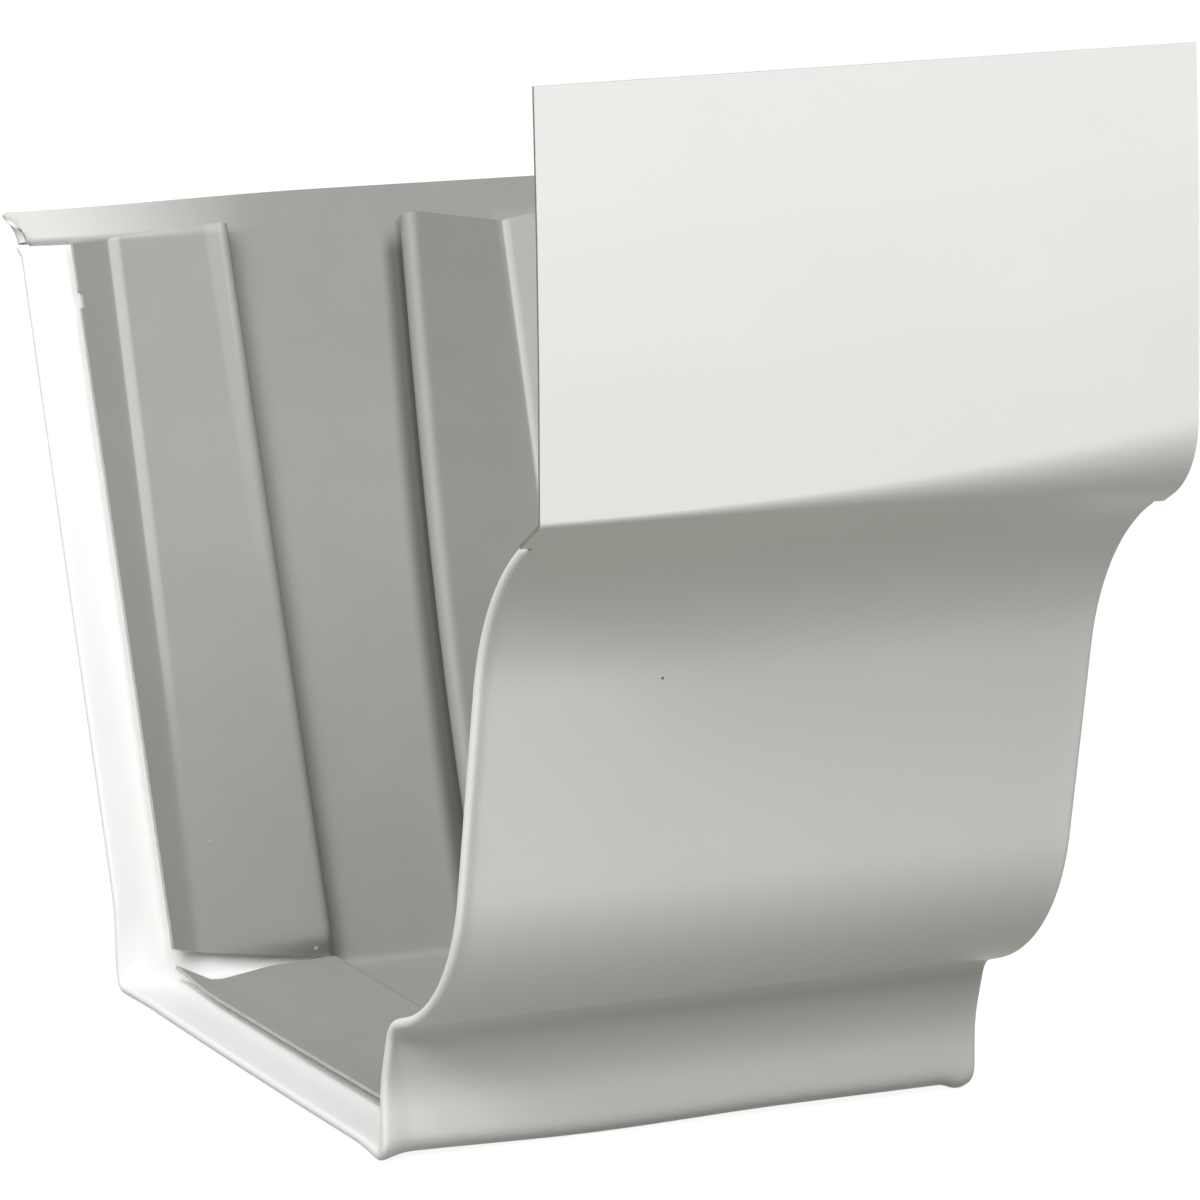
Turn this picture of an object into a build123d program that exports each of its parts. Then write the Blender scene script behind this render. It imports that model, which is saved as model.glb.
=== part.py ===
from build123d import *
import os
from math import copysign, cos, degrees, radians, sin, tan

# Gutter connector for a 5 inch K-style gutter: one blank of pre-painted steel sheet, hemmed and turned
# back on itself at both ends to make slip pockets, then folded to the gutter's outline.
# X runs along the gutter, the ogee faces -Y and +Z is up. Sizes are in millimetres and degrees.

# Sheet, and the folds at each end as distances from that end
sheet = 0.45
length = 76.2
hem_gap = 0.2
pocket_gap = 1.4
pinched_gap = 0.15
crease_gap = 0.6
mouth_gap = 1.6
crease_width = 1.0
lip_edge = 6.2
crease_line = 10.6
pocket_depth = 27.8
fold_root = 0.8
fold_flats = 6

# The back pockets, whose folds drift between the foot and the top of the back
left_crease_top = 11.6
left_crease_foot = 9.6
right_depth_top = 23.6
right_crease_top = 9.4

# Outline of the outer face
back_width = 102.4
back_lean = 20.8
bottom_depth = 85.4
upright_height = 8.2
upright_lean = 18.7
ledge_height = 15.9
bulge_reach = 20.4
bulge_height = 21.4
flank_lean = 11.6
cove_height = 70.9
cove_rise = 26.6
fascia_reach = 50.5
fascia_lean = 2.1
fascia_height = 129.0
corner_bend = 2.0
upright_bend = 15.0
ledge_bend = 1.2
bulge_bend = 24.0
cove_bend = 27.0
fascia_bend = 7.0

# Plain sheet beyond the hems, along the back's top and on the fascia
top_band = 5.0
cove_run = 1.0
relief_gap = 0.6
relief_depth = 1.6
fascia_overhang = 0.8
ear_reach = 2.6
ear_foot = 0.5
ear_bend = 0.8

# Metal that bunches up outside the hems where they turn the bottom's corners
swell_size = 2.2
front_swell = 0.7
back_swell = 2.4

# Notches that free the tongues at the bends, as their openings at the end
pinch_run = 3.0
back_notch = 4.2
rear_floor_notch = 5.8
front_floor_notch = 4.5
upright_notch = 3.6
ledge_notch = 2.4
tail_root = 2.6
tail_tip = 0.3
notch_clear = 0.05

hem_stack = 2 * sheet + hem_gap
hem_bend = hem_stack / 2
beyond = 1.0


def outline():
    """The outer face across the gutter, run by run from the back's top to the fascia's top."""
    back_top = (back_width * sin(radians(back_lean)), back_width * cos(radians(back_lean)))
    ledge_y = -bottom_depth - (ledge_height - upright_height) * tan(radians(upright_lean))
    bulge_y = -bottom_depth - bulge_reach
    cove_y = bulge_y - (cove_height - bulge_height) * tan(radians(flank_lean))
    fascia_y = -bottom_depth - fascia_reach
    fascia_foot = cove_height + (cove_y - fascia_y) * tan(radians(cove_rise))
    fascia_top = fascia_y + (fascia_height - fascia_foot) * tan(radians(fascia_lean))
    corners = [
        back_top,
        (0, 0),
        (-bottom_depth, 0),
        (-bottom_depth, upright_height),
        (ledge_y, ledge_height),
        (bulge_y, bulge_height),
        (cove_y, cove_height),
        (fascia_y, fascia_foot),
        (fascia_top, fascia_height),
    ]
    bends = [corner_bend, corner_bend, upright_bend, ledge_bend, bulge_bend, cove_bend, fascia_bend]
    return FilletPolyline(*[(0, y, z) for y, z in corners], radius=bends).edges()


(
    back,
    back_corner,
    bottom,
    front_corner,
    upright,
    upright_curve,
    lean,
    ledge_corner,
    ledge,
    bulge,
    flank,
    cove,
    brow,
    fascia_curve,
    fascia,
) = outline()


def stretch(edge, start, stop):
    """Part of a straight run, between two distances from where it begins."""
    return edge.trim(start / edge.length, stop / edge.length)


def across(edge, at=0):
    """Section plane over a run: local x goes in from the left end, local y goes into the trough."""
    place = edge.position_at(at)
    return Plane(origin=(-length / 2, place.Y, place.Z), x_dir=(1, 0, 0), z_dir=edge.tangent_at(at))


def along(edge, at=0):
    """The outer face over a run: local x goes in from the left end, local y goes back along the run."""
    here = across(edge, at)
    return Plane(origin=here.origin, x_dir=(1, 0, 0), z_dir=here.y_dir)


def follow(section, edge):
    """Carry a section along one straight or round run of the outline."""
    placed = across(edge) * section
    if edge.geom_type == GeomType.LINE:
        return extrude(placed, amount=edge.length, dir=edge.tangent_at(0))
    turning = edge.tangent_at(0).cross(edge.tangent_at(1))
    return revolve(placed, Axis(edge.arc_center, turning), degrees(edge.length / edge.radius))


def change(first, last, edge):
    """Carry a section along a straight run while it changes from one shape to another."""
    return loft([across(edge, 0) * first, across(edge, 1) * last], ruled=True)


def band(reach):
    """Section of the single sheet, standing out past both hems by the given reach."""
    return Pos(length / 2, sheet / 2) * Rectangle(length + 2 * reach, sheet)


def fold_start(depth, gap):
    """Where the second fold starts to turn, as a distance from the end."""
    return depth - gap / 2 - sheet


def half_turn(x, low, high, side):
    """Points of a half turn of the sheet between two heights, bulging towards one side of x."""
    radius = (high - low) / 2
    angles = [radians(180 * step / fold_flats) for step in range(fold_flats + 1)]
    return [(x + side * radius * sin(angle), low + radius * (1 - cos(angle))) for angle in angles]


def turned_edge(depth, gap, tongue):
    """Section of the hem, the layer it turns in, the second fold and the tongue's (x, gap) places."""
    start = fold_start(depth, gap)
    tongue_face = [(x, hem_stack + space) for x, space in tongue]
    painted = [
        *half_turn(hem_bend, 0, hem_stack, -1),
        *half_turn(start, hem_stack, hem_stack + gap, 1),
        *tongue_face,
    ]
    grey = [
        *half_turn(hem_bend, sheet, hem_stack - sheet, -1),
        *half_turn(start, hem_stack - sheet, hem_stack + gap + sheet, 1),
        *[(x, height + sheet) for x, height in tongue_face],
    ]
    return make_face(Polyline(*painted, *reversed(grey), close=True))


def pocket(depth=pocket_depth, crease=crease_line, gap=pocket_gap):
    """Section with the whole tongue: a shallow crease near its free edge, then the flared lip."""
    crease_sides = [(crease + crease_width / 2, crease_gap), (crease - crease_width / 2, crease_gap)]
    return turned_edge(depth, gap, [*crease_sides, (lip_edge, mouth_gap)])


def fold_only(gap):
    """Section where a notch leaves no tongue: the second fold ends just past its turn."""
    return turned_edge(pocket_depth, gap, [(fold_start(pocket_depth, gap) - fold_root, gap)])


def notch(edge, at, corners):
    """Prism over the tongue beside a bend, with corners as (x, distance on along the outline)."""
    cut_out = make_face(Polyline(*[(x, -distance) for x, distance in corners], close=True))
    height = mouth_gap + pocket_gap + sheet + beyond
    return extrude(along(edge, at).offset(hem_stack + notch_clear) * cut_out, amount=height)


def corner_notch(edge, at, opening, gap=pinched_gap):
    """Half of a V notch, from its point at the second fold to its opening at the end."""
    point = fold_start(pocket_depth, gap) - fold_root
    margin = -copysign(beyond, opening)
    return notch(edge, at, [(point, 0), (0, opening), (0, margin), (point, margin)])


def tail_notch():
    """Notch at the floor's rear, which leaves a thin pointed tail of the lip."""
    point = fold_start(pocket_depth, pinched_gap) - fold_root
    root = (lip_edge + tail_root, rear_floor_notch)
    tip = lip_edge + tail_tip
    return notch(bottom, 0, [(point, 0), root, (tip, 0), (tip, -beyond), (point, -beyond)])


def swell(centre, trough_corner, wall, floor):
    """Low dome of bunched metal at a bottom corner of the left end, kept out of the trough."""
    dome = Pos(swell_size - length / 2, *centre) * Sphere(swell_size)
    beside = trough_corner + floor * 2 * swell_size
    above = wall * 2 * swell_size
    trough = make_face(Polyline(trough_corner, beside, beside + above, trough_corner + above, close=True))
    return dome - extrude(Plane.YZ * trough, amount=length / 2, both=True)


def swells():
    """The two swells of the left end, at the foot of the upright and at the foot of the back."""
    front_centre = (swell_size - bottom_depth, swell_size - front_swell)
    front_corner_inside = Vector(hem_stack - bottom_depth, hem_stack)
    front = swell(front_centre, front_corner_inside, Vector(0, 1), Vector(1, 0))
    up_back = Vector(sin(radians(back_lean)), cos(radians(back_lean)))
    back_corner_inside = Vector(hem_stack * (up_back.X - 1) / up_back.Y, hem_stack)
    back_centre = (back_swell - swell_size, swell_size)
    return [front, swell(back_centre, back_corner_inside, up_back, Vector(-1, 0))]


def folded_end(depth_top, crease_top, crease_foot):
    """Every turned-in stretch at the left end, from the back's top round to the top of the hollow."""
    pinched = pocket(gap=pinched_gap)
    back_foot = pocket(crease=crease_foot)
    back_pinch = back.length - pinch_run
    floor_pinch = bottom.length - pinch_run

    back_fold = change(pocket(depth_top, crease_top), back_foot, stretch(back, top_band, back_pinch))
    back_fold += change(back_foot, pinched, stretch(back, back_pinch, back.length))

    floor_fold = change(pinched, pocket(), stretch(bottom, 0, pinch_run))
    floor_fold += follow(pocket(), stretch(bottom, pinch_run, floor_pinch))
    floor_fold += change(pocket(), pinched, stretch(bottom, floor_pinch, bottom.length))

    upright_fold = change(pinched, pocket(), upright)
    upright_fold += [follow(pocket(), edge) for edge in [upright_curve, lean]]

    ogee_fold = follow(pocket(), ledge)
    ogee_fold += [follow(pocket(), edge) for edge in [bulge, flank, cove, stretch(brow, 0, cove_run)]]

    back_fold -= corner_notch(back, 1, -back_notch)
    floor_fold -= [tail_notch(), corner_notch(bottom, 1, -front_floor_notch)]
    upright_fold -= corner_notch(upright, 0, upright_notch)
    upright_fold -= corner_notch(lean, 1, -ledge_notch, pocket_gap)
    ogee_fold -= corner_notch(ledge, 0, ledge_notch, pocket_gap)

    return [
        *swells(),
        back_fold,
        follow(fold_only(pinched_gap), back_corner),
        floor_fold,
        follow(fold_only(pinched_gap), front_corner),
        upright_fold,
        follow(fold_only(pocket_gap), ledge_corner),
        ogee_fold,
    ]


def ear():
    """Corner of the plain top band that stands out past the hem at the left end."""
    foot = relief_gap - top_band
    tip = (-ear_reach, 0)
    corner = make_face(Polyline(tip, (relief_depth, 0), (relief_depth, foot), (-ear_foot, foot), close=True))
    rounded = fillet(corner.vertices().sort_by_distance(tip)[0], ear_bend)
    return extrude(along(back) * rounded, amount=sheet)


def wall():
    """The single sheet from the back's top to the fascia's top, with its relief notches and ears."""
    hemmed = [stretch(back, top_band, back.length), back_corner, bottom, front_corner, upright]
    hemmed += [upright_curve, lean, ledge_corner, ledge, bulge, flank, cove, stretch(brow, 0, cove_run)]
    relieved = [stretch(back, 0, top_band), stretch(brow, cove_run, cove_run + relief_gap)]
    plain = [stretch(brow, cove_run + relief_gap, brow.length), fascia_curve, fascia]
    pieces = [follow(band(-hem_bend), edge) for edge in hemmed]
    pieces += [follow(band(-relief_depth), edge) for edge in relieved]
    pieces += [follow(band(fascia_overhang), edge) for edge in plain]
    return [*pieces, ear(), mirror(ear(), Plane.YZ)]


def gutter_connector():
    """The whole folded blank, with its origin under the middle of its box."""
    left_end = folded_end(pocket_depth, left_crease_top, left_crease_foot)
    right_end = folded_end(right_depth_top, right_crease_top, crease_line)
    far_end = [mirror(piece, Plane.YZ) for piece in right_end]
    first, *rest = [*wall(), *left_end, *far_end]
    blank = first.fuse(*rest)
    box = blank.bounding_box()
    return Pos(0, -box.center().Y, -box.min.Z) * blank


os.makedirs("parts", exist_ok=True)
export_step(gutter_connector(), "parts/gutter_connector.step")
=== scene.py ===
from math import atan2, cos, pi, radians, sin, sqrt, tan

import bmesh
import bpy
from mathutils import Matrix, Vector, noise


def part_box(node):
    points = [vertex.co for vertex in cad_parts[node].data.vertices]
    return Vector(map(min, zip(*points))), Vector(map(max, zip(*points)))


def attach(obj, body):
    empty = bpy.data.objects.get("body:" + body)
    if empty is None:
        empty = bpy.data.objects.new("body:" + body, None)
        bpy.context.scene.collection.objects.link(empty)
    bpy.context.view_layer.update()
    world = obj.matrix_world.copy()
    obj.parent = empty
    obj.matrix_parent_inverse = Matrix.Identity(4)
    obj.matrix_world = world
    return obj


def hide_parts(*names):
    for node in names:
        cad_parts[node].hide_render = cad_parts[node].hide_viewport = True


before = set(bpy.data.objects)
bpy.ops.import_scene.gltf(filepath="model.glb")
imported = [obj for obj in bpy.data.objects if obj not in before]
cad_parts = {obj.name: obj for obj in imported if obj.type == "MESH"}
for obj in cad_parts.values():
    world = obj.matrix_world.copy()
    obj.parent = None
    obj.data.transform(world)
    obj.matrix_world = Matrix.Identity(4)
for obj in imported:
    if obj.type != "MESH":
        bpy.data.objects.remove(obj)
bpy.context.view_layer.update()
connector_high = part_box("gutter_connector")[1]

# Lengths are in millimetres until the folded sheet is scaled to metres.
MM = 0.001

# Sheet, and the folds at each end as distances from that end
sheet = 0.45
length = 76.2
hem_stack = 1.1
pocket_gap = 1.4
pinched_gap = 0.2
crease_gap = 0.6
mouth_gap = 1.65
crease_softness = 0.07
lip_edge = 6.3
crease_line = 10.6
pocket_depth = 27.8
pinch_run = 3.0
fold_root = 0.8

# The hem's bead, which grows at the upright's foot and ends in a drawn tip under the fascia
hem_proud = 0.05
ogee_hem_proud = 0.2
ogee_bead_run = 6
bead_width = 1.2
foot_bead_at = 1
foot_bead_run = 9
foot_bead_rise = 1.2
foot_bead_spread = 2.0
hem_tip = 0.6
hem_tip_draw = 0.25

# The left back pocket: a ring at its fold and a sunk crease, both fading down the back
left_gap = 2.0
left_crease_top = 11.5
left_crease_foot = 9.4
left_crease_gap = 1.1
left_mouth_gap = 2.2
left_lip = 5.8
left_softening = 0.15
ring_rise = 0.6
ring_width = 1.7
ring_fades_over = 0.6
crease_dip = 0.7
crease_step = 1.2
dip_fades_from = 0.35
dip_fades_over = 0.5

# The right back pocket, whose fold and crease run out of true near the top
right_gap = 2.3
right_depth_top = 23.8
right_crease_top = 9.4
right_crease_gap = 0.35
right_mouth_gap = 2.3
right_lip_top = 5.1
right_lip_step = 0.45
fold_settles = 1.15
crease_settles = 1.6

# The floor pockets, whose tongues lie flatter and lift towards the front
floor_lift = 0.7
floor_flare = 0.3
floor_flattens = 6

# Outline of the outer face
back_width = 102.4
back_lean = 20.8
bottom_depth = 85.4
upright_height = 8.2
upright_lean = 18.7
ledge_height = 15.9
bulge_reach = 20.4
bulge_height = 21.4
flank_lean = 11.6
cove_height = 70.9

# Bend radii of the outer face
back_bend = 2.0
front_bend = 2.5
upright_bend = 15.0
ledge_bend = 3.2
bulge_bend = 24.0
cove_bend = 27.0

# The fascia, twisted a little, with a bend that opens towards the right end
left_fascia_foot = Vector((-133.4, 81.2))
left_fascia_top = Vector((-132.5, 127.8))
left_fascia_bend = 0.9
right_fascia_foot = Vector((-135.7, 81.45))
right_fascia_top = Vector((-133.9, 128.9))
right_fascia_bend = 10.0

# Three faint flats that the rolls left on the fascia
flat_angle = 0.012
flat_kinks = (15, 29)
kink_softness = 1.0

# Plain sheet beyond the hems, with an ear that curls in at each end of the top band
top_band = 5.0
cove_run = 1.0
relief_gap = 0.5
relief_depth = 1.4
brow_relief_depth = 0.6
left_fascia_overhang = 0.8
right_fascia_overhang = 0.85
ear_reach = 2.6
ear_curl = 3.6
ear_flare = 0.5
ear_flare_run = 1.6

# Notches between the tongues: how far they run from a bend, and where they cross the lip
back_notch_root = 0.5
back_notch_rise = 3.1
back_notch_edge = 3.3
back_notch_lip = 6.6
tail_point = 6.5
tail_base = 8.9
tail_length = 5.7
front_notch_run = 4.5
front_notch_rise = 3.6
ledge_notch = 2.4

# A shallow nick in the left tongue's edge
nick_from = 12.3
nick_to = 14.8
nick_slope = 0.3
nick_above = 6.65
nick_below = 6.6

# How the real sheet departs from true: sags, swells and ripples
low_reach = 9
bottom_sag = 0.25
front_from = 0.8
front_hold = 0.5
front_sag = 0.6
front_rise = 0.5
front_rise_at = -11
front_rise_run = 26
lobe_from = 0.9
left_lobe = 0.42
left_lobe_run = 4.4
right_lobe = 0.66
right_lobe_at = 1.8
right_lobe_run = 2.2
swell_depth = 0.7
back_swell = 1.3
end_swell = 0.45
swell_across = 4
swell_height = 1.5
swell_up = 11
swell_along = 9
top_dip = 0.74
top_dip_along = 12
top_dip_from = 4
top_dip_across = 42
right_growth = 0.3
ripple = 0.05
ripple_across = 24
ripple_along = 30

half_length = length / 2
hem_bend = hem_stack / 2
fold_start = pocket_depth - pocket_gap / 2 - sheet
back_height = back_width * cos(radians(back_lean))
back_foot = connector_high.y - back_width * sin(radians(back_lean)) * MM

# Widths across the flat blank, from its middle to where each fold begins and ends
wall_edge = half_length - hem_bend
hem_edge = wall_edge + pi * hem_bend
turned_edge = hem_edge + fold_start - hem_bend
fold_edge = turned_edge + pi * pocket_gap / 2
crease_edge = fold_edge + fold_start - crease_line
blank_edge = crease_edge + crease_line - lip_edge
past_blank = blank_edge + 1


def turned(vector, angle):
    """A Y-Z vector turned by an angle."""
    return Vector((
        vector.x * cos(angle) - vector.y * sin(angle),
        vector.x * sin(angle) + vector.y * cos(angle),
    ))


def outline_runs(fascia_foot, fascia_top, fascia_bend):
    """Runs of the outer face from the back's top to the fascia's: start, direction, length and curve."""
    ledge_y = -bottom_depth - (ledge_height - upright_height) * tan(radians(upright_lean))
    bulge_y = -bottom_depth - bulge_reach
    cove_y = bulge_y - (cove_height - bulge_height) * tan(radians(flank_lean))
    corners = [
        Vector((back_width * sin(radians(back_lean)), back_height)),
        Vector((0, 0)),
        Vector((-bottom_depth, 0)),
        Vector((-bottom_depth, upright_height)),
        Vector((ledge_y, ledge_height)),
        Vector((bulge_y, bulge_height)),
        Vector((cove_y, cove_height)),
        fascia_foot,
        fascia_top,
    ]
    bends = [back_bend, front_bend, upright_bend, ledge_bend, bulge_bend, cove_bend, fascia_bend]
    found = []
    start = corners[0]
    for before, corner, after, bend in zip(corners, corners[1:], corners[2:], bends):
        inward = (corner - before).normalized()
        onward = (after - corner).normalized()
        turn = atan2(inward.x * onward.y - inward.y * onward.x, inward.dot(onward))
        setback = bend * tan(abs(turn) / 2)
        found.append((start, inward, (corner - inward * setback - start).length, 0.0))
        found.append((corner - inward * setback, inward, bend * abs(turn), turn / (bend * abs(turn))))
        start = corner + onward * setback
    found.append((start, onward, (corners[-1] - start).length, 0.0))
    return found


run_names = [
    "back", "back_corner", "bottom", "front_corner", "upright", "upright_curve", "lean",
    "ledge_corner", "ledge", "bulge", "flank", "cove", "brow", "fascia_curve", "fascia",
]
left_runs = outline_runs(left_fascia_foot, left_fascia_top, left_fascia_bend)
right_runs = outline_runs(right_fascia_foot, right_fascia_top, right_fascia_bend)
middle_runs = outline_runs(
    (left_fascia_foot + right_fascia_foot) / 2,
    (left_fascia_top + right_fascia_top) / 2,
    left_fascia_bend,
)
run_from = {}
run_to = {}
travelled = 0.0
for name, left_run, right_run in zip(run_names, left_runs, right_runs):
    run_from[name] = travelled
    travelled += (left_run[2] + right_run[2]) / 2
    run_to[name] = travelled
hem_stop = run_from["brow"] + cove_run


def on_run(run, part):
    """Place and direction at a part of the way along one run."""
    start, direction, run_length, curve = run
    step = run_length * part
    if curve == 0:
        return start + direction * step, direction
    angle = curve * step
    left = turned(direction, pi / 2)
    return start + (direction * sin(angle) + left * (1 - cos(angle))) / curve, turned(direction, angle)


def on_outline(along, share):
    """Place and direction of the outer face, with share 0 at the left end and 1 at the right."""
    weights = ((1 - share) ** 2, 2 * share * (1 - share), share ** 2)
    for name, *runs in zip(run_names, left_runs, middle_runs, right_runs):
        if along <= run_to[name] or name == run_names[-1]:
            part = (along - run_from[name]) / (run_to[name] - run_from[name])
            places, ways = zip(*(on_run(run, part) for run in runs))
            place = sum((weight * end_place for weight, end_place in zip(weights, places)), Vector((0, 0)))
            way = sum((weight * end_way for weight, end_way in zip(weights, ways)), Vector((0, 0)))
            return place, way.normalized()


def ease(value):
    """Smooth step from 0 to 1."""
    value = min(max(value, 0.0), 1.0)
    return value * value * (3 - 2 * value)


def hump(value):
    """Smooth bump that is 1 at 0 and 0 from 1 on, either way."""
    return 1 - ease(abs(value))


# The blank, its rows and columns


def spread(marks):
    """Positions from a list of (position, steps up to it), starting at its first position."""
    places = [marks[0][0]]
    for (before, _), (after, steps) in zip(marks, marks[1:]):
        places += [before + (after - before) * (k + 1) / steps for k in range(steps)]
    return places


def blank_rows():
    """Distances along the blank of its rows, closer together where it bends."""
    return spread([
        (0, 0),
        (top_band - relief_gap, 9),
        (top_band, 1),
        (top_band + 2, 4),
        (run_to["back"] - pinch_run, 58),
        (run_to["back"], 6),
        (run_to["back_corner"], 6),
        (run_from["bottom"] + pinch_run, 6),
        (run_to["bottom"] - pinch_run, 46),
        (run_to["bottom"], 5),
        (run_to["front_corner"], 7),
        (run_to["upright"], 4),
        (run_to["upright_curve"], 5),
        (run_to["lean"], 4),
        (run_to["ledge_corner"], 4),
        (run_to["ledge"], 3),
        (run_to["bulge"], 24),
        (run_to["flank"], 10),
        (run_to["cove"], 22),
        (hem_stop - hem_tip, 1),
        (hem_stop, 3),
        (hem_stop + relief_gap, 1),
        (run_to["brow"], 3),
        (run_to["fascia_curve"], 14),
        (run_to["fascia"], 26),
    ])


def blank_columns():
    """Distances across the blank of its columns, from its left cut edge to its right one."""
    right = spread([
        (0, 0),
        (half_length - 5, 9),
        (half_length - relief_depth, 6),
        (wall_edge, 5),
        (hem_edge, 10),
        (hem_edge + lip_edge, 6),
        (turned_edge, 7),
        (fold_edge, 10),
        (fold_edge + 3.3, 8),
        (crease_edge - 1.6, 4),
        (crease_edge + 1, 11),
        (blank_edge, 3),
    ])
    return [-place for place in reversed(right[1:])] + right


def flat_blank():
    """The uncut blank as a grid: x runs across it and y along it."""
    rows = blank_rows()
    columns = blank_columns()
    blank = bmesh.new()
    bmesh.ops.create_grid(blank, x_segments=len(columns) - 1, y_segments=len(rows) - 1, size=1)
    for vert in blank.verts:
        column = round((vert.co.x + 1) / 2 * (len(columns) - 1))
        row = round((vert.co.y + 1) / 2 * (len(rows) - 1))
        vert.co = (columns[column], rows[row], 0)
    return blank


# Cuts, as polygons of (across, along) corners on the blank


def inside(place, corners):
    """Whether a place on the blank lies inside a polygon."""
    hit = False
    for start, stop in zip(corners, corners[1:] + corners[:1]):
        if (start[1] > place.y) != (stop[1] > place.y):
            share = (place.y - start[1]) / (stop[1] - start[1])
            if place.x < start[0] + share * (stop[0] - start[0]):
                hit = not hit
    return hit


def cut_out(blank, corners):
    """Cut a polygon out of the blank."""
    margin = 0.01
    low = Vector((min(c[0] for c in corners) - margin, min(c[1] for c in corners) - margin))
    high = Vector((max(c[0] for c in corners) + margin, max(c[1] for c in corners) + margin))

    def near():
        return [
            face for face in blank.faces
            if any(low.x < v.co.x < high.x for v in face.verts)
            and any(low.y < v.co.y < high.y for v in face.verts)
        ]

    for start, stop in zip(corners, corners[1:] + corners[:1]):
        side = Vector((stop[0] - start[0], stop[1] - start[1], 0))
        faces = near()
        edges = {edge for face in faces for edge in face.edges}
        verts = {vert for face in faces for vert in face.verts}
        bmesh.ops.bisect_plane(
            blank,
            geom=[*verts, *edges, *faces],
            dist=0.002,
            plane_co=(start[0], start[1], 0),
            plane_no=(-side.y, side.x, 0),
        )
    gone = [face for face in near() if inside(face.calc_center_median(), corners)]
    bmesh.ops.delete(blank, geom=gone, context="FACES")


def mirrored(corners):
    """The same polygon at the blank's other end."""
    return [(-across, along) for across, along in reversed(corners)]


def cut_both_ends(blank, corners):
    """Cut a polygon and its mirror image out of the blank."""
    cut_out(blank, corners)
    cut_out(blank, mirrored(corners))


def on_tongue(x):
    """Place across the blank of a point on a tongue, by its distance from the end."""
    return blank_edge + lip_edge - x


def notch_tongues(blank):
    """Free the tongues from each other at the bends, and leave a pointed tail of lip at the floor's rear."""
    root = fold_edge + fold_root
    corner = run_to["back"]
    rear = run_from["bottom"]
    cut_both_ends(blank, [
        (root, corner - back_notch_root),
        (on_tongue(back_notch_lip), corner - back_notch_rise),
        (past_blank, corner - back_notch_edge),
        (past_blank, rear),
        (root, rear),
    ])
    cut_both_ends(blank, [
        (root, rear),
        (on_tongue(tail_point), rear),
        (on_tongue(tail_base), rear + tail_length),
    ])
    corner = run_to["bottom"]
    upright = run_from["upright"]
    cut_both_ends(blank, [
        (root, corner),
        (past_blank, corner - front_notch_run),
        (past_blank, upright + front_notch_rise),
        (root, upright),
    ])
    corner = run_to["lean"]
    ledge = run_from["ledge"]
    cut_both_ends(blank, [
        (root, corner),
        (past_blank, corner - ledge_notch),
        (past_blank, ledge + ledge_notch),
        (root, ledge),
    ])


def ear_waste(inset, return_top, ring_top, crease_top, lip_top):
    """Waste above the right end's folds: beside the ear, in the relief notch and over the pocket's top."""
    ear_edge = [(1.5, -1), (1.5, 0), (2.0, 0.4), (2.2, 0.9), (2.4, 2.0), (2.5, 3.3)]
    ear_foot = 2.1
    relief = half_length - relief_depth
    return [
        *[(half_length + beyond - inset, along) for beyond, along in ear_edge],
        (half_length + ear_foot - inset, top_band - relief_gap),
        (relief, top_band - relief_gap),
        (relief, top_band),
        (hem_edge, top_band),
        (hem_edge + lip_edge, return_top),
        (turned_edge - 4, return_top),
        (turned_edge, ring_top),
        (fold_edge + 1, ring_top),
        (crease_edge, crease_top),
        (past_blank, lip_top),
        (past_blank, -1),
    ]


def fascia_waste(overhang):
    """Waste beside the fascia's right end, and the relief notch below it."""
    relief = half_length - brow_relief_depth
    return [
        (relief, hem_stop),
        (relief, hem_stop + relief_gap),
        (half_length + overhang, hem_stop + relief_gap),
        (half_length + overhang, run_to["fascia"] + 1),
        (past_blank, run_to["fascia"] + 1),
        (past_blank, hem_stop),
    ]


def trim_plain_sheet(blank):
    """Take the hem's width off the back's top band and the fascia, and cut the relief notches."""
    left = ear_waste(inset=0.25, return_top=5.2, ring_top=4.3, crease_top=5.0, lip_top=5.1)
    right = ear_waste(inset=0.3, return_top=6.7, ring_top=4.7, crease_top=6.2, lip_top=5.6)
    cut_out(blank, mirrored(left))
    cut_out(blank, right)
    cut_out(blank, mirrored(fascia_waste(left_fascia_overhang)))
    cut_out(blank, fascia_waste(right_fascia_overhang))


def nick_left_tongue(blank):
    """A shallow nick that the shear left in the left tongue's edge, near its top."""
    cut_out(blank, [
        (-past_blank, nick_from),
        (-on_tongue(nick_above), nick_from + nick_slope),
        (-on_tongue(nick_below), nick_to - nick_slope),
        (-past_blank, nick_to),
    ])


# Folding


def end_shape(side, along):
    """Depth, crease line, lip's edge and gap of a pocket at a place along the blank."""
    gap = pocket_gap
    depth = pocket_depth
    crease = crease_line
    lip = lip_edge
    share = along / run_to["back"]
    if share < 1 and side < 0:
        gap = left_gap
        crease = left_crease_top + (left_crease_foot - left_crease_top) * share
        lip = left_lip
    elif share < 1:
        gap = right_gap
        crease = right_crease_top + (crease_line - right_crease_top) * min(share * crease_settles, 1)
        turned_in = sin(min(share * fold_settles, 1) * pi / 2)
        depth = right_depth_top + (pocket_depth - right_depth_top) * turned_in
        lip = right_lip_top + (lip_edge - right_lip_top) * share
    for bend in ("back_corner", "front_corner"):
        away = max(run_from[bend] - along, along - run_to[bend], 0)
        gap -= (gap - pinched_gap) * hump(away / pinch_run)
    return depth, crease, lip, gap


def bead_shape(side, along):
    """How far the hem stands proud of the outer face, and over what width: most at the upright's foot."""
    wide = hump((along - run_from["upright"] - foot_bead_at) / foot_bead_run)
    proud = hem_proud
    if side < 0:
        past_bottom = (along - run_to["bottom"] + ogee_bead_run) / ogee_bead_run
        proud += (ogee_hem_proud - hem_proud) * ease(past_bottom)
    return proud * (1 + foot_bead_rise * wide), bead_width * (1 + foot_bead_spread * wide)


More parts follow.
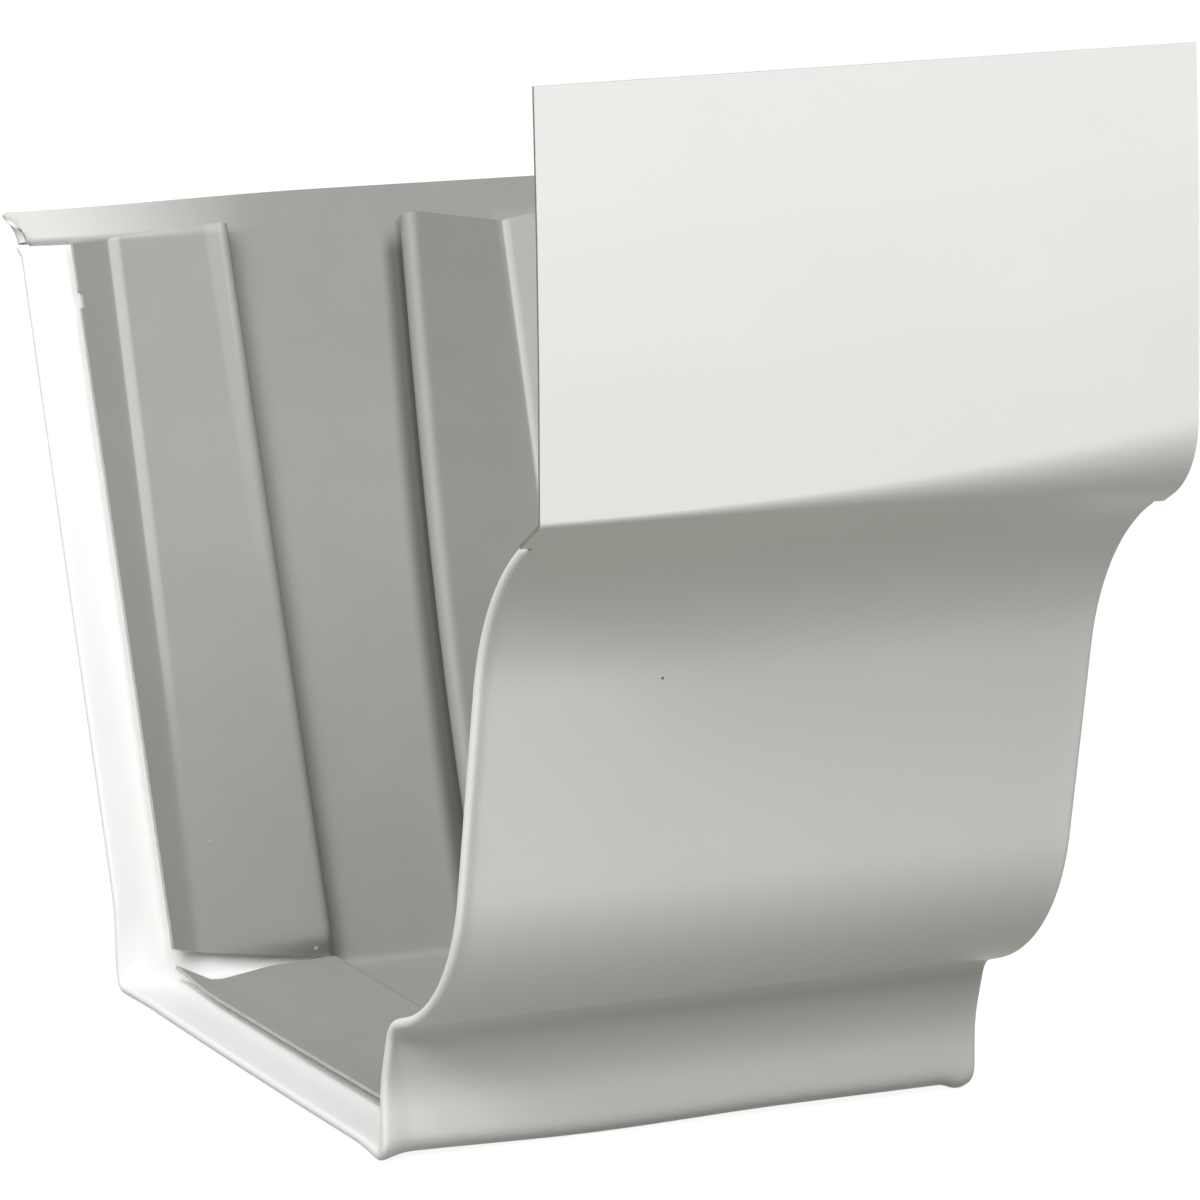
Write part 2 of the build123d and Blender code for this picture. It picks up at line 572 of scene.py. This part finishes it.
def tongue_height(side, x, along, fold, crease, lip, gap):
    """Height of a tongue over the return layer: a ring at the fold, a sunk crease and a flared lip."""
    floor_share = min(max((along - run_from["bottom"]) / (run_to["bottom"] - run_from["bottom"]), 0), 1)
    flat = ease(floor_share * floor_flattens) * (along < run_to["bottom"])
    low = crease_gap + floor_lift * floor_share * flat
    mouth = mouth_gap
    softness = crease_softness
    rise = 0.0
    dip = 0.0
    step = 0.0
    share = along / run_to["back"]
    if share < 1 and side < 0:
        settled = ease((share - dip_fades_from) / dip_fades_over)
        low = left_crease_gap + (crease_gap - left_crease_gap) * settled
        mouth = left_mouth_gap
        softness += left_softening * share
        rise = ring_rise * (1 - ease(share / ring_fades_over))
        dip = crease_dip * (1 - settled)
    elif share < 1:
        low = right_crease_gap
        mouth = right_mouth_gap
        step = right_lip_step
    mouth += (low + floor_flare - mouth) * flat
    inner = low + (gap - rise - low) * (x - crease) / (fold - crease)
    inner += rise * max(1 - (fold - x) / ring_width, 0) - dip * max(1 - max(x - crease, 0) / crease_step, 0)
    outer = low - dip + (mouth - low + dip) * (crease - x) / (crease - lip)
    outer += step * (1 - hump(max(crease - x, 0)))
    return (inner + outer) / 2 + sqrt(((inner - outer) / 2) ** 2 + softness ** 2)


def fold_section(across, along):
    """Distance from the end and height over the outer face, once hem, pocket and lip are folded."""
    side = -1 if across < 0 else 1
    width = abs(across)
    on_band = along < top_band - relief_gap / 2
    on_fascia = along > hem_stop + relief_gap / 2
    if on_fascia or width <= wall_edge and on_band:
        return half_length - width, 0.0
    if on_band and width < half_length + ear_reach:
        bend = ear_curl / max(along, 0.1)
        angle = (width - wall_edge) / bend
        return hem_bend - bend * sin(angle), bend * (1 - cos(angle))
    proud, bead = bead_shape(side, along)
    tip = ease((along - hem_stop + hem_tip) / hem_tip)
    flare = ear_flare * hump((along - top_band) / ear_flare_run)
    if width <= wall_edge:
        x = half_length - width
        return x, -proud * (1 - tip) * hump((x - hem_bend) / bead)
    depth, crease, lip, gap = end_shape(side, along)
    start = depth - gap / 2 - sheet
    if width <= hem_edge:
        angle = pi * (width - wall_edge) / (hem_edge - wall_edge)
        x = hem_bend * (1 - sin(angle)) + (hem_tip_draw * tip - flare) * sin(angle)
        return x, hem_bend * (1 - cos(angle)) - proud * (1 - tip) * cos(angle / 2) ** 2
    if width <= turned_edge:
        share = (width - hem_edge) / (turned_edge - hem_edge)
        return hem_bend + (start - hem_bend) * share, hem_stack
    if width <= fold_edge:
        angle = pi * (width - turned_edge) / (fold_edge - turned_edge)
        return start + gap / 2 * sin(angle), hem_stack + gap / 2 * (1 - cos(angle))
    if width <= crease_edge:
        share = (width - fold_edge) / (crease_edge - fold_edge)
        x = start + (crease - start) * share
    else:
        share = (width - crease_edge) / (blank_edge - crease_edge)
        x = crease + (lip - crease) * share
    return x, hem_stack + tongue_height(side, x, along, start, crease, lip, gap)


def fascia_flats(along):
    """How far the faint flats bring the fascia out at a place along the blank."""
    step = along - run_from["fascia"]
    if step < 0:
        return 0.0
    spans = [
        sqrt((step - kink) ** 2 + kink_softness ** 2) - sqrt(kink ** 2 + kink_softness ** 2)
        for kink in flat_kinks
    ]
    return flat_angle * sum(spans)


def settle(point, end):
    """A point of the sheet after its sags and swells around the bottom, by its distance from the end."""
    x, y, z = point
    low = 1 - ease(z / low_reach)
    depth = -y / bottom_depth
    middle = sin(pi * min(max(depth, 0), 1))
    front = ease((depth - front_from) / (1 - front_from))
    z -= low * bottom_sag * middle * (1 - front_hold * front)
    z += low * front * (front_rise * (1 - hump((x - front_rise_at) / front_rise_run)) - front_sag)
    if x < 0:
        lobe = left_lobe * (1 - min(max(end, 0) / left_lobe_run, 1))
    else:
        lobe = right_lobe * hump((end - right_lobe_at) / right_lobe_run)
    z -= low * lobe * ease((depth - lobe_from) / (1 - lobe_from))
    corner = hump(max(end, 0) / swell_across) * hump((z - swell_height) / swell_up) * hump(y / swell_along)
    return Vector((x * (1 + corner * end_swell / half_length), y + corner * back_swell, z))


def fold_up(blank):
    """Fold the flat blank: hems and pockets across it, and the gutter's outline along it."""
    for vert in blank.verts:
        across, along = vert.co.x, vert.co.y
        x, height = fold_section(across, along)
        side = -1 if across < 0 else 1
        end = side * (half_length - x)
        place, way = on_outline(along, end / length + 0.5)
        wave = ripple * noise.noise(Vector((end / ripple_across, along / ripple_along, 0)))
        folded = place + turned(way, -pi / 2) * (height + fascia_flats(along) + wave)
        leftward = ease((top_dip_from - end) / top_dip_across)
        folded += way * top_dip * (1 - ease(along / top_dip_along)) * leftward
        grown = end + right_growth * (end / length + 0.5)
        vert.co = settle(Vector((grown, folded.x, folded.y)), x)


# Substances

# Specks, as places on the folded sheet; the last wash speck is a painted highlight at the left back pocket's
# pinched corner, the others are white flecks
paint_specks = [(-15.6, -63.9, 60.1)]
paint_speck_radius = 0.18
wash_flecks_and_glint = [(-22.6, 63.2, 42.7), (-24.7, 54.0, 18.2), (-12.5, 79.8, 87.8), (-12.65, 48.2, 4.2)]
wash_fleck_and_glint_radius = 0.3

# Sizes of the patterns; the wash coat's grain and the shear's streaks are drawn coarse enough to show
paint_clouds = 22.2
orange_peel = 1.11
wash_clouds = 9.09
wash_grain = 0.714
shear_streaks = 0.625
relief_height = 0.2


def srgb(code):
    """A hex colour as linear RGBA."""
    values = [int(code[k:k + 2], 16) / 255 for k in (0, 2, 4)]
    return (*[v / 12.92 if v <= 0.04045 else ((v + 0.055) / 1.055) ** 2.4 for v in values], 1)


def add(tree, kind, settings=None, links=None):
    """Add a node with its settings, and link its inputs to other nodes' outputs."""
    node = tree.nodes.new(kind)
    for name, value in (settings or {}).items():
        if isinstance(name, int) or name in node.inputs:
            node.inputs[name].default_value = value
        else:
            setattr(node, name, value)
    for name, (source, output) in (links or {}).items():
        tree.links.new(source.outputs[output], node.inputs[name])
    return node


def empty_tree(owner):
    """The owner's node tree, cleared."""
    owner.use_nodes = True
    owner.node_tree.nodes.clear()
    return owner.node_tree


def worked(tree, source, steps):
    """A node's output taken through a row of sums, each an operation and its other value."""
    for operation, value in steps:
        source = (add(tree, "ShaderNodeMath", {"operation": operation, 1: value}, {0: source}), 0)
    return source


def together(tree, operation, sources):
    """Several outputs brought together by one operation."""
    total = sources[0]
    for source in sources[1:]:
        total = (add(tree, "ShaderNodeMath", {"operation": operation}, {0: total, 1: source}), 0)
    return total


def within(tree, limits):
    """Share that is 1 inside all limits, each an output and the millimetres where it gives 0 and 1."""
    shares = []
    for source, none_at, full_at in limits:
        settings = {"interpolation_type": "SMOOTHSTEP", "From Min": none_at * MM, "From Max": full_at * MM}
        shares.append((add(tree, "ShaderNodeMapRange", settings, {"Value": source}), 0))
    return together(tree, "MULTIPLY", shares)


def spots(tree, place, centres, radius):
    """1 inside small round spots, by their centres and radius in millimetres, and 0 elsewhere."""
    found = []
    for centre in centres:
        middle = tuple(value * MM for value in centre)
        away = add(tree, "ShaderNodeVectorMath", {"operation": "DISTANCE", 1: middle}, {0: (place, "Object")})
        found.append(worked(tree, (away, "Value"), [("LESS_THAN", radius * MM)]))
    return together(tree, "MAXIMUM", found)


def clouded(tree, place, size, detail, dark, light):
    """Two shades of one colour in soft patches of a size in millimetres."""
    settings = {"Scale": 1 / (size * MM), "Detail": detail}
    patches = add(tree, "ShaderNodeTexNoise", settings, {"Vector": (place, "Object")})
    shades = {"data_type": "RGBA", 6: srgb(dark), 7: srgb(light)}
    return add(tree, "ShaderNodeMix", shades, {0: (patches, 0)}), 2


def laid_over(tree, colour, layers):
    """A colour with others laid over it in turn, each a share and a hex colour."""
    for share, code in layers:
        settings = {"data_type": "RGBA", 7: srgb(code)}
        colour = (add(tree, "ShaderNodeMix", settings, {0: share, 6: colour}), 2)
    return colour


def coat_surface(tree, place, colour, grain_size, strength):
    """Paint of a colour, half matt, with a fine relief whose grains have a size in millimetres."""
    settings = {"Scale": 1 / (grain_size * MM), "Detail": 2.0}
    grain = add(tree, "ShaderNodeTexNoise", settings, {"Vector": (place, "Object")})
    settings = {"Strength": strength, "Distance": relief_height * MM}
    relief = add(tree, "ShaderNodeBump", settings, {"Height": (grain, 0)})
    settings = {"Roughness": 0.45, "Specular IOR Level": 0.3}
    shader = add(tree, "ShaderNodeBsdfPrincipled", settings, {"Base Color": colour, "Normal": (relief, 0)})
    add(tree, "ShaderNodeOutputMaterial", links={"Surface": (shader, 0)})


def polyester_coil_coat():
    """White polyester paint, roller coated: faint orange peel, cloudy by a shade, and one dark speck."""
    material = bpy.data.materials.new("white_polyester_coil_coat")
    tree = empty_tree(material)
    place = add(tree, "ShaderNodeTexCoord")
    colour = clouded(tree, place, paint_clouds, 3.0, "EBEBEA", "EFEFEE")
    colour = laid_over(tree, colour, [(spots(tree, place, paint_specks, paint_speck_radius), "7C7B75")])
    coat_surface(tree, place, colour, orange_peel, strength=0.06)
    return material


def beside_right_fold(tree, axes):
    """Distance from the right back pocket's fold, less than nothing on the wall's side."""
    top = back_height * MM
    depth_gain = pocket_depth - right_depth_top
    depth = worked(tree, (axes, 2), [
        ("SUBTRACT", top), ("DIVIDE", -top / fold_settles), ("MINIMUM", 1), ("MULTIPLY", pi / 2), ("SINE", 0),
        ("MULTIPLY", depth_gain * MM), ("ADD", (right_depth_top - half_length) * MM),
    ])
    return together(tree, "ADD", [depth, (axes, 0)])


def over_back(tree, place):
    """Height over the back's outer face."""
    lean = radians(back_lean)
    inward = (0, -cos(lean), sin(lean))
    foot = Vector((0, back_foot, swell_depth * MM)).dot(Vector(inward))
    settings = {"operation": "DOT_PRODUCT", 1: inward}
    height = add(tree, "ShaderNodeVectorMath", settings, {0: (place, "Object")})
    return worked(tree, (height, "Value"), [("SUBTRACT", foot)])


def painted_shade(tree, place, axes):
    """Share of painted shade: full in the crevice beside the right fold, faint on its tongue and up the wall.
    """
    across = (axes, 0)
    upward = (axes, 2)
    beside = beside_right_fold(tree, axes)
    height = over_back(tree, place)

    wall_side = (beside, -2.9, -0.5)
    fold_side = (beside, 2.5, 1.5)
    deep_down = (height, 1.9, 1.1)
    below_band = (upward, 92.0, 87.5)
    crevice = within(tree, [wall_side, fold_side, deep_down, below_band])

    past_fold = (beside, 0.8, 1.6)
    raised = (height, 0.8, 1.2)
    high_up = (upward, 45.0, 90.0)
    faint = together(tree, "ADD", [
        worked(tree, within(tree, [past_fold, raised]), [("MULTIPLY", 0.18)]),
        worked(tree, within(tree, [high_up]), [("MULTIPLY", 0.12)]),
    ])

    short_of_lip = (across, 28.6, 27.4)
    above_pocket = (upward, 91.8, 93.0)
    off_lip = together(tree, "MAXIMUM", [within(tree, [short_of_lip]), within(tree, [above_pocket])])
    off_left_end = (across, -12.0, -6.0)
    near_back = (height, 8.0, 6.0)
    middle = together(tree, "MULTIPLY", [faint, off_lip, within(tree, [off_left_end, near_back])])
    return together(tree, "MAXIMUM", [crevice, middle])


def painted_bend_highlight(tree, place, axes, top_x, foot_x, width, fade_from, fade_to, strength):
    """Share of painted highlight in a pale band beside a bend in a back tongue, faded out below."""
    bend_x = worked(tree, (axes, 2), [("MULTIPLY", (top_x - foot_x) / back_height), ("ADD", foot_x * MM)])
    beside = together(tree, "SUBTRACT", [(axes, 0), bend_x])
    near_side = (beside, -0.2, 0.2)
    far_side = (beside, width + 0.3, width - 0.3)
    above_fade = ((axes, 2), fade_to, fade_from)
    raised = (over_back(tree, place), 0.8, 1.2)
    band = within(tree, [near_side, far_side, above_fade, raised])
    return worked(tree, band, [("MULTIPLY", strength)])


def wash_coat():
    """Grey backer paint, thin and matt: white flecks, pale painted highlights along bends, at the top band's
    left end and in one speck, painted shade in a crevice, on a tongue and up the wall.
    """
    material = bpy.data.materials.new("grey_wash_coat")
    tree = empty_tree(material)
    place = add(tree, "ShaderNodeTexCoord")
    axes = add(tree, "ShaderNodeSeparateXYZ", links={"Vector": (place, "Object")})
    # The pale DADBD8 bands along the left crease, the left ring and the right crease are painted highlights.
    ring_x = pocket_depth - half_length - 1.6
    left_crease = painted_bend_highlight(
        tree, place, axes, top_x=left_crease_top - half_length, foot_x=left_crease_foot - half_length,
        width=1.3, fade_from=70, fade_to=25, strength=0.2,
    )
    left_ring = painted_bend_highlight(
        tree, place, axes, top_x=ring_x, foot_x=ring_x,
        width=1.5, fade_from=88, fade_to=60, strength=0.2,
    )
    right_crease = painted_bend_highlight(
        tree, place, axes, top_x=half_length - right_crease_top, foot_x=half_length - crease_line - 1.0,
        width=0.7, fade_from=50, fade_to=40, strength=0.35,
    )
    # The top band is painted paler towards the left end, a painted highlight.
    leftward = ((axes, 0), -2, -40)
    on_top_band = ((axes, 2), 91.8, 92.8)
    # Colour 60615C is painted shade: darker wash coat in the crevice beside the right fold, on its tongue and
    # up the wall.
    colour = laid_over(tree, clouded(tree, place, wash_clouds, 3.0, "969793", "9E9F9B"), [
        (painted_shade(tree, place, axes), "60615C"),
        (left_crease, "DADBD8"),
        (left_ring, "DADBD8"),
        (right_crease, "DADBD8"),
        (within(tree, [leftward, on_top_band]), "DADBD8"),
        (spots(tree, place, wash_flecks_and_glint, wash_fleck_and_glint_radius), "DDDDDA"),
    ])
    coat_surface(tree, place, colour, wash_grain, strength=0.08)
    return material


def bare_cut_edge():
    """Sheared galvanised steel, streaked by the shear: a darker copy on the fascia as painted shade, a paler
    zinc grey copy elsewhere as painted light.
    """
    material = bpy.data.materials.new("sheared_galvanised_steel")
    tree = empty_tree(material)
    place = add(tree, "ShaderNodeTexCoord")
    axes = add(tree, "ShaderNodeSeparateXYZ", links={"Vector": (place, "Object")})
    painted_shade_edge = clouded(tree, place, shear_streaks, 2.0, "55524C", "8A877F")
    lit_zinc_edge = clouded(tree, place, shear_streaks, 2.0, "A2A099", "C6C4BE")
    behind_fascia = within(tree, [((axes, 1), -60.0, -45.0)])
    colour = add(tree, "ShaderNodeMix", {"data_type": "RGBA"}, {0: behind_fascia, 6: painted_shade_edge, 7: lit_zinc_edge})
    settings = {"Metallic": 0.3, "Roughness": 0.5}
    shader = add(tree, "ShaderNodeBsdfPrincipled", settings, {"Base Color": (colour, 2)})
    add(tree, "ShaderNodeOutputMaterial", links={"Surface": (shader, 0)})
    return material


# The connector


def make_connector():
    """The folded sheet as one mesh, with paint, wash coat and bare edges."""
    blank = flat_blank()
    trim_plain_sheet(blank)
    notch_tongues(blank)
    nick_left_tongue(blank)
    fold_up(blank)
    painted = list(blank.faces)
    bmesh.ops.recalc_face_normals(blank, faces=painted)
    lowest = min(painted, key=lambda face: face.calc_center_median().z)
    if lowest.normal.z > 0:
        bmesh.ops.reverse_faces(blank, faces=painted)
    made = bmesh.ops.solidify(blank, geom=painted, thickness=sheet)
    grey = {face for face in made["geom"] if isinstance(face, bmesh.types.BMFace)}
    bare = set(blank.faces) - set(painted) - grey
    for number, faces in enumerate((painted, grey, bare)):
        for face in faces:
            face.material_index = number
            face.smooth = True
    for edge in blank.edges:
        edge.smooth = len({face.material_index for face in edge.link_faces}) == 1
    bmesh.ops.translate(blank, vec=(0, 0, swell_depth), verts=blank.verts)
    bmesh.ops.scale(blank, vec=(MM, MM, MM), verts=blank.verts)
    bmesh.ops.translate(blank, vec=(0, back_foot, 0), verts=blank.verts)
    mesh = bpy.data.meshes.new("folded_sheet")
    blank.to_mesh(mesh)
    blank.free()
    for material in (polyester_coil_coat(), wash_coat(), bare_cut_edge()):
        mesh.materials.append(material)
    made_object = bpy.data.objects.new("folded_sheet", mesh)
    bpy.context.scene.collection.objects.link(made_object)
    return made_object


connector = make_connector()
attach(connector, "root")
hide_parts("gutter_connector")

# Camera

photo_pixels = 1200
focal_pixels = 6446
view = Vector((0.4034, 0.8957, -0.187)).normalized()
photo_upright = Vector((0.0815, 0.1684, 0.9823))
camera_place = Vector((-0.3079, back_foot - 0.7459, 0.2008 + swell_depth * MM))

camera_data = bpy.data.cameras.new("camera")
camera_data.sensor_width = 36
camera_data.lens = focal_pixels / photo_pixels * camera_data.sensor_width
camera_data.clip_end = 20
camera = bpy.data.objects.new("camera", camera_data)
right = view.cross(photo_upright).normalized()
up = right.cross(view)
turn = Matrix((right, up, -view)).transposed().to_4x4()
camera.matrix_world = Matrix.Translation(camera_place) @ turn
bpy.context.scene.collection.objects.link(camera)
bpy.context.scene.camera = camera

# Floor, world and lights, in metres

floor_reach = 5
paper_glow = 0.9
softbox_size = 0.5
softbox_distance = 1.6
softbox_aim = Vector((0, 0, 0.06))


def seen_white(tree):
    """1 for rays from the camera, and for what it sees mirrored or through the object."""
    rays = add(tree, "ShaderNodeLightPath")
    seen = ("Is Camera Ray", "Is Glossy Ray", "Is Transmission Ray")
    return together(tree, "MAXIMUM", [(rays, kind) for kind in seen])


def studio_paper():
    """Matt paper that keeps shadows and is nearly white to the camera wherever it is lit."""
    material = bpy.data.materials.new("studio_paper")
    tree = empty_tree(material)
    glow = worked(tree, seen_white(tree), [("MULTIPLY", paper_glow)])
    settings = {"Base Color": srgb("7D7E75"), "Roughness": 0.9, "Emission Color": (1, 1, 1, 1)}
    shader = add(tree, "ShaderNodeBsdfPrincipled", settings, {"Emission Strength": glow})
    add(tree, "ShaderNodeOutputMaterial", links={"Surface": (shader, 0)})
    return material


def softbox(name, bearing, height, power):
    """A square area lamp aimed at the object, by its bearing from the front and its height in degrees."""
    lamp_data = bpy.data.lights.new(name, "AREA")
    lamp_data.size = softbox_size
    lamp_data.energy = power
    lamp = bpy.data.objects.new(name, lamp_data)
    level = cos(radians(height))
    way = Vector((sin(radians(bearing)) * level, -cos(radians(bearing)) * level, sin(radians(height))))
    place = softbox_aim + way * softbox_distance
    lamp.matrix_world = Matrix.Translation(place) @ way.to_track_quat("Z", "Y").to_matrix().to_4x4()
    bpy.context.scene.collection.objects.link(lamp)


floor_mesh = bpy.data.meshes.new("floor")
floor_shape = bmesh.new()
bmesh.ops.create_grid(floor_shape, x_segments=1, y_segments=1, size=floor_reach)
floor_shape.to_mesh(floor_mesh)
floor_shape.free()
floor_mesh.materials.append(studio_paper())
floor = bpy.data.objects.new("floor", floor_mesh)
bpy.context.scene.collection.objects.link(floor)

world = bpy.data.worlds.new("studio")
bpy.context.scene.world = world
tree = empty_tree(world)
dim = add(tree, "ShaderNodeBackground", {"Color": (1, 1, 1, 1), "Strength": 0.01})
white = add(tree, "ShaderNodeBackground", {"Color": (1, 1, 1, 1), "Strength": 1.0})
mix = add(tree, "ShaderNodeMixShader", links={0: seen_white(tree), 1: (dim, 0), 2: (white, 0)})
add(tree, "ShaderNodeOutputWorld", links={"Surface": (mix, 0)})

softbox("left_high", -60, 60, 12.4)
softbox("left", -60, 35, 11.0)
softbox("front_left", -30, 35, 3.4)
softbox("front", 0, 35, 7.2)
softbox("front_high", 0, 60, 4.2)
softbox("front_low", 0, 10, 0.7)

scene = bpy.context.scene
scene.view_settings.view_transform = "Standard"
